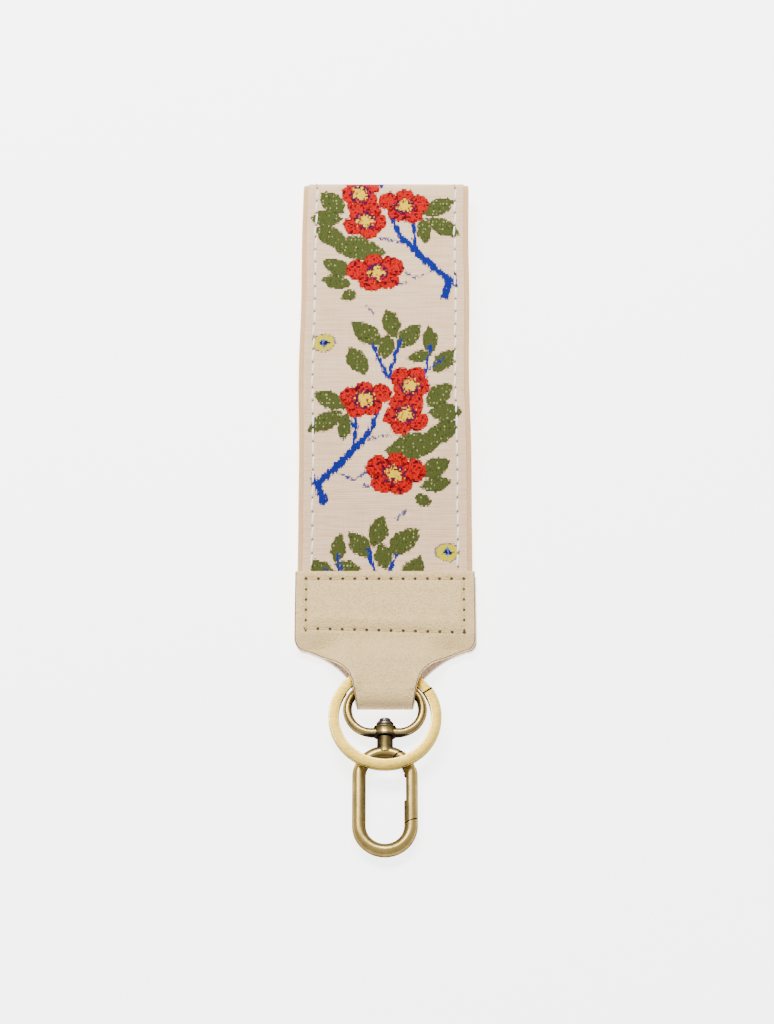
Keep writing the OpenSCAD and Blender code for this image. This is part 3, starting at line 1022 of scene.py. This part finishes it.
def tube(name, line, radius, closed, around=20, material=None):
    """A round wire along a flat line of (x, y, z) points."""
    line = np.asarray(line, float)
    if closed:
        ahead, behind = np.roll(line, -1, 0), np.roll(line, 1, 0)
    else:
        ahead = np.vstack([line[1:], line[-1:]])
        behind = np.vstack([line[:1], line[:-1]])
    along = ahead - behind
    along /= np.linalg.norm(along, axis=1, keepdims=True)
    side = np.stack([along[:, 1], -along[:, 0], 0 * along[:, 0]], -1)
    side /= np.linalg.norm(side, axis=1, keepdims=True)
    up = np.cross(side, along)
    a = np.linspace(0, 2 * math.pi, around, endpoint=False)
    r = np.broadcast_to(np.asarray(radius, float), (len(line),))[:, None, None]
    rings = (
        line[:, None, :]
        + r * np.cos(a)[None, :, None] * side[:, None, :]
        + r * np.sin(a)[None, :, None] * up[:, None, :]
    )
    return loft(name, rings, closed=closed, material=material)


def turned(name, profile, centre, around=48, wide=1.0, material=None):
    """A body turned about a line along Y; its profile is pairs of Y and radius."""
    a = np.linspace(0, 2 * math.pi, around, endpoint=False)
    rings = np.array(
        [
            [
                (centre[0] + wide * r * math.cos(k), y, centre[1] + r * math.sin(k))
                for k in a
            ]
            for y, r in profile
        ]
    )
    return loft(name, rings, material=material)


def soften(profile, r=0.1, steps=3):
    """Rounds the corners of a profile."""
    out = [profile[0]]
    for p, q, s in zip(profile, profile[1:], profile[2:]):
        p, q, s = np.array(p), np.array(q), np.array(s)
        a, b = p - q, s - q
        la, lb = np.linalg.norm(a), np.linalg.norm(b)
        d = min(r, la * 0.45, lb * 0.45)
        p0, p1 = q + a / la * d, q + b / lb * d
        for i in range(steps + 1):
            w = i / steps
            out.append(tuple((1 - w) ** 2 * p0 + 2 * w * (1 - w) * q + w * w * p1))
    out.append(profile[-1])
    return out


wire_z, bail_r = 2.3, 1.0
bend, straight, mid_y = 5.5, 2.85, -0.5
a = np.linspace(-math.pi / 2, math.pi / 2, 40)
right_bend = [(straight + bend * math.cos(k), mid_y + bend * math.sin(k)) for k in a]
left_bend = [(-x, y) for x, y in right_bend[::-1]]
bar = [(x, mid_y + bend) for x in np.linspace(straight, -straight, 14)[1:-1]]
low_bar = [(x, mid_y - bend) for x in np.linspace(-straight, straight, 16)[1:-1]]
line = np.array([(x, y, wire_z) for x, y in right_bend + bar + left_bend + low_bar])
near_collar = np.exp(-((line[:, 0] / 3.0) ** 2)) * (line[:, 1] < 0)
bail_brass = brass(
    "bail_brass",
    rgb("b89f60"),
    rgb("665839"),
    rgb("1b1817"),
    link_side((straight, mid_y), (straight, mid_y), bend, bail_r, 0.22),
    0.24,
)
bail_wire = tube(
    "bail_wire", line, bail_r + 0.22 * near_collar, True, 22, material=bail_brass
)
collar = turned(
    "bail_collar",
    soften(
        [
            (-4.62, 1.1),
            (-4.62, 2.12),
            (-4.72, 2.28),
            (-5.0, 2.28),
            (-5.12, 2.12),
            (-6.45, 2.12),
            (-6.57, 2.28),
            (-6.94, 2.28),
            (-7.06, 2.12),
            (-7.06, 1.1),
        ],
        0.1,
    ),
    (0, wire_z),
    56,
    1.1,
    bail_brass,
)
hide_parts("swivel_bail")
for piece in (bail_wire, collar):
    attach(piece, "bail")

# ---------------------------------------------------------------------------
# Swivel washer and pin: the dark riveted head that holds the hook in the
# collar. It shows inside the bail.
dark_steel = brass(
    "dark_steel", rgb("6f6a66"), rgb("35312f"), rgb("121110"), None, 0.3
)
washer = turned(
    "washer_disc",
    soften(
        [
            (-4.56, 1.0),
            (-4.56, 1.8),
            (-4.4, 1.95),
            (-3.9, 1.93),
            (-3.56, 1.7),
            (-3.5, 1.0),
        ],
        0.1,
    ),
    (0, wire_z),
    48,
    1.0,
    dark_steel,
)
head = turned(
    "rivet_head",
    soften(
        [
            (-3.9, 0.9),
            (-3.6, 1.3),
            (-3.0, 1.3),
            (-2.8, 1.2),
            (-2.68, 0.8),
            (-2.66, 0.05),
        ],
        0.14,
    ),
    (0, wire_z),
    48,
    1.0,
    dark_steel,
)
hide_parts("swivel_washer")
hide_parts("swivel_pin")
for piece in (washer, head):
    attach(piece, "hook")

# ---------------------------------------------------------------------------
# Snap hook: a long round-wire link on a stem, its right side cut out for
# the gate. The frame, the gate and its pin keep their exact shapes.
hook_brass = brass(
    "hook_brass",
    rgb("b59b59"),
    rgb("74633a"),
    rgb("1f1b18"),
    link_side((0, -16.42), (0, -27.72), 5.7, 1.5, 0.26),
    0.27,
)
for name in ("hook_frame", "gate", "gate_pin"):
    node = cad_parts[name]
    node.data.materials.clear()
    node.data.materials.append(hook_brass)
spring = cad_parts["gate_spring"]
spring.data.materials.clear()
spring.data.materials.append(dark_steel)

# ---------------------------------------------------------------------------
# Split ring: flat wire wound twice, the upper turn's cut end showing at the
# upper right. Satin gold-brass, with a painted highlight along the bevelled
# edges, painted shade on the side faces and a painted shadow at the cut end.
turn_t, ring_mid, ring_half = 0.83, 11.35, 1.15
ring_low = wire_z + bail_r + 0.12
ring_y0, pivot_y = -3.15, 5.0
tilt = math.atan((wire_z + 1.5 + 0.12 - ring_low) / (pivot_y - (ring_y0 - ring_mid)))
angle = np.radians(np.linspace(34, -574, 380))
rise = ease((np.degrees(angle) + 286) / 32)
level = turn_t / 2 + rise * (turn_t + 0.04)
bevel = 0.16
section = []
for cx, cy, a0 in ((1, 1, 0), (-1, 1, 90), (-1, -1, 180), (1, -1, 270)):
    for k in np.radians([a0, a0 + 30, a0 + 60, a0 + 90]):
        section.append(
            (
                cx * (ring_half - bevel) + bevel * math.cos(k),
                cy * (turn_t / 2 - bevel) + bevel * math.sin(k),
            )
        )
section = np.array(section)
r = ring_mid + section[:, 0][None, :]
lx = r * np.cos(angle)[:, None]
ly = r * np.sin(angle)[:, None] + (ring_y0 - pivot_y)
lz = level[:, None] + section[:, 1][None, :]
rings = np.stack(
    [
        lx,
        pivot_y + ly * math.cos(tilt) + lz * math.sin(tilt),
        ring_low - ly * math.sin(tilt) + lz * math.cos(tilt),
    ],
    -1,
)
finish = Finish("ring_brass")
where = finish.node("TexCoord", "Object")
x, y, z = finish.split(where)
rx = x * 1000
ry = (y - (fold_y + ring_y0 / 1000)) * 1000
rr = (rx * rx + ry * ry).math("SQRT")
brushed = finish.noise(finish.join(rx * 0.25, ry * 4.0), 1.6, 3, 0.6)
cloud = finish.noise(where, 350, 2)
bevel_highlight = abs(rr - ring_mid).step(0.75, 1.12)
_, _, up = finish.split(finish.node("TexCoord", "Normal"))
end = finish.node("Attribute", "Fac", attribute_name="end")
grit = finish.noise(where, 2600, 2, 0.6)
tone = finish.mix(brushed.step(0.3, 0.7), rgb("b6993f"), rgb("9c812c"))
tone = finish.mix(grit.step(0.5, 0.68) * 0.45, tone, rgb("70591e"))
# Painted highlight: a brighter band along the bevelled inner and outer edges, which are also made
# smoother.
tone = finish.mix(bevel_highlight * 0.75, tone, rgb("e2cc72"))
tone = finish.mix(cloud.step(0.5, 0.75) * 0.3, tone, rgb("75602a"))
# Painted shade: the side faces of the flat wire are darkened.
tone = finish.mix(abs(up).step(0.55, 0.2) * 0.9, tone, rgb("3a2f1c"))
# Painted shadow: the upper turn's cut end is darkened.
tone = finish.mix(end.step(0.3, 0.7), tone, rgb("15110c"))
finish.set(
    Base_Color=tone,
    Metallic=0.96,
    Specular_Tint=(0.6, 0.5, 0.35, 1),
    Roughness=bevel_highlight * -0.14 + 0.4,
    Normal=finish.bump(brushed + grit * 0.5, 0.00003, 0.5),
)
# Marks the cut end, where a shadow is painted.
near_end = np.clip(1.9 - np.arange(len(angle)), 0, 1)[:, None]
ring = loft(
    "ring_coil",
    rings,
    marks={"end": near_end + 0 * rings[:, :, 0]},
    material=finish.material,
)
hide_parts("split_ring")
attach(ring, "ring")
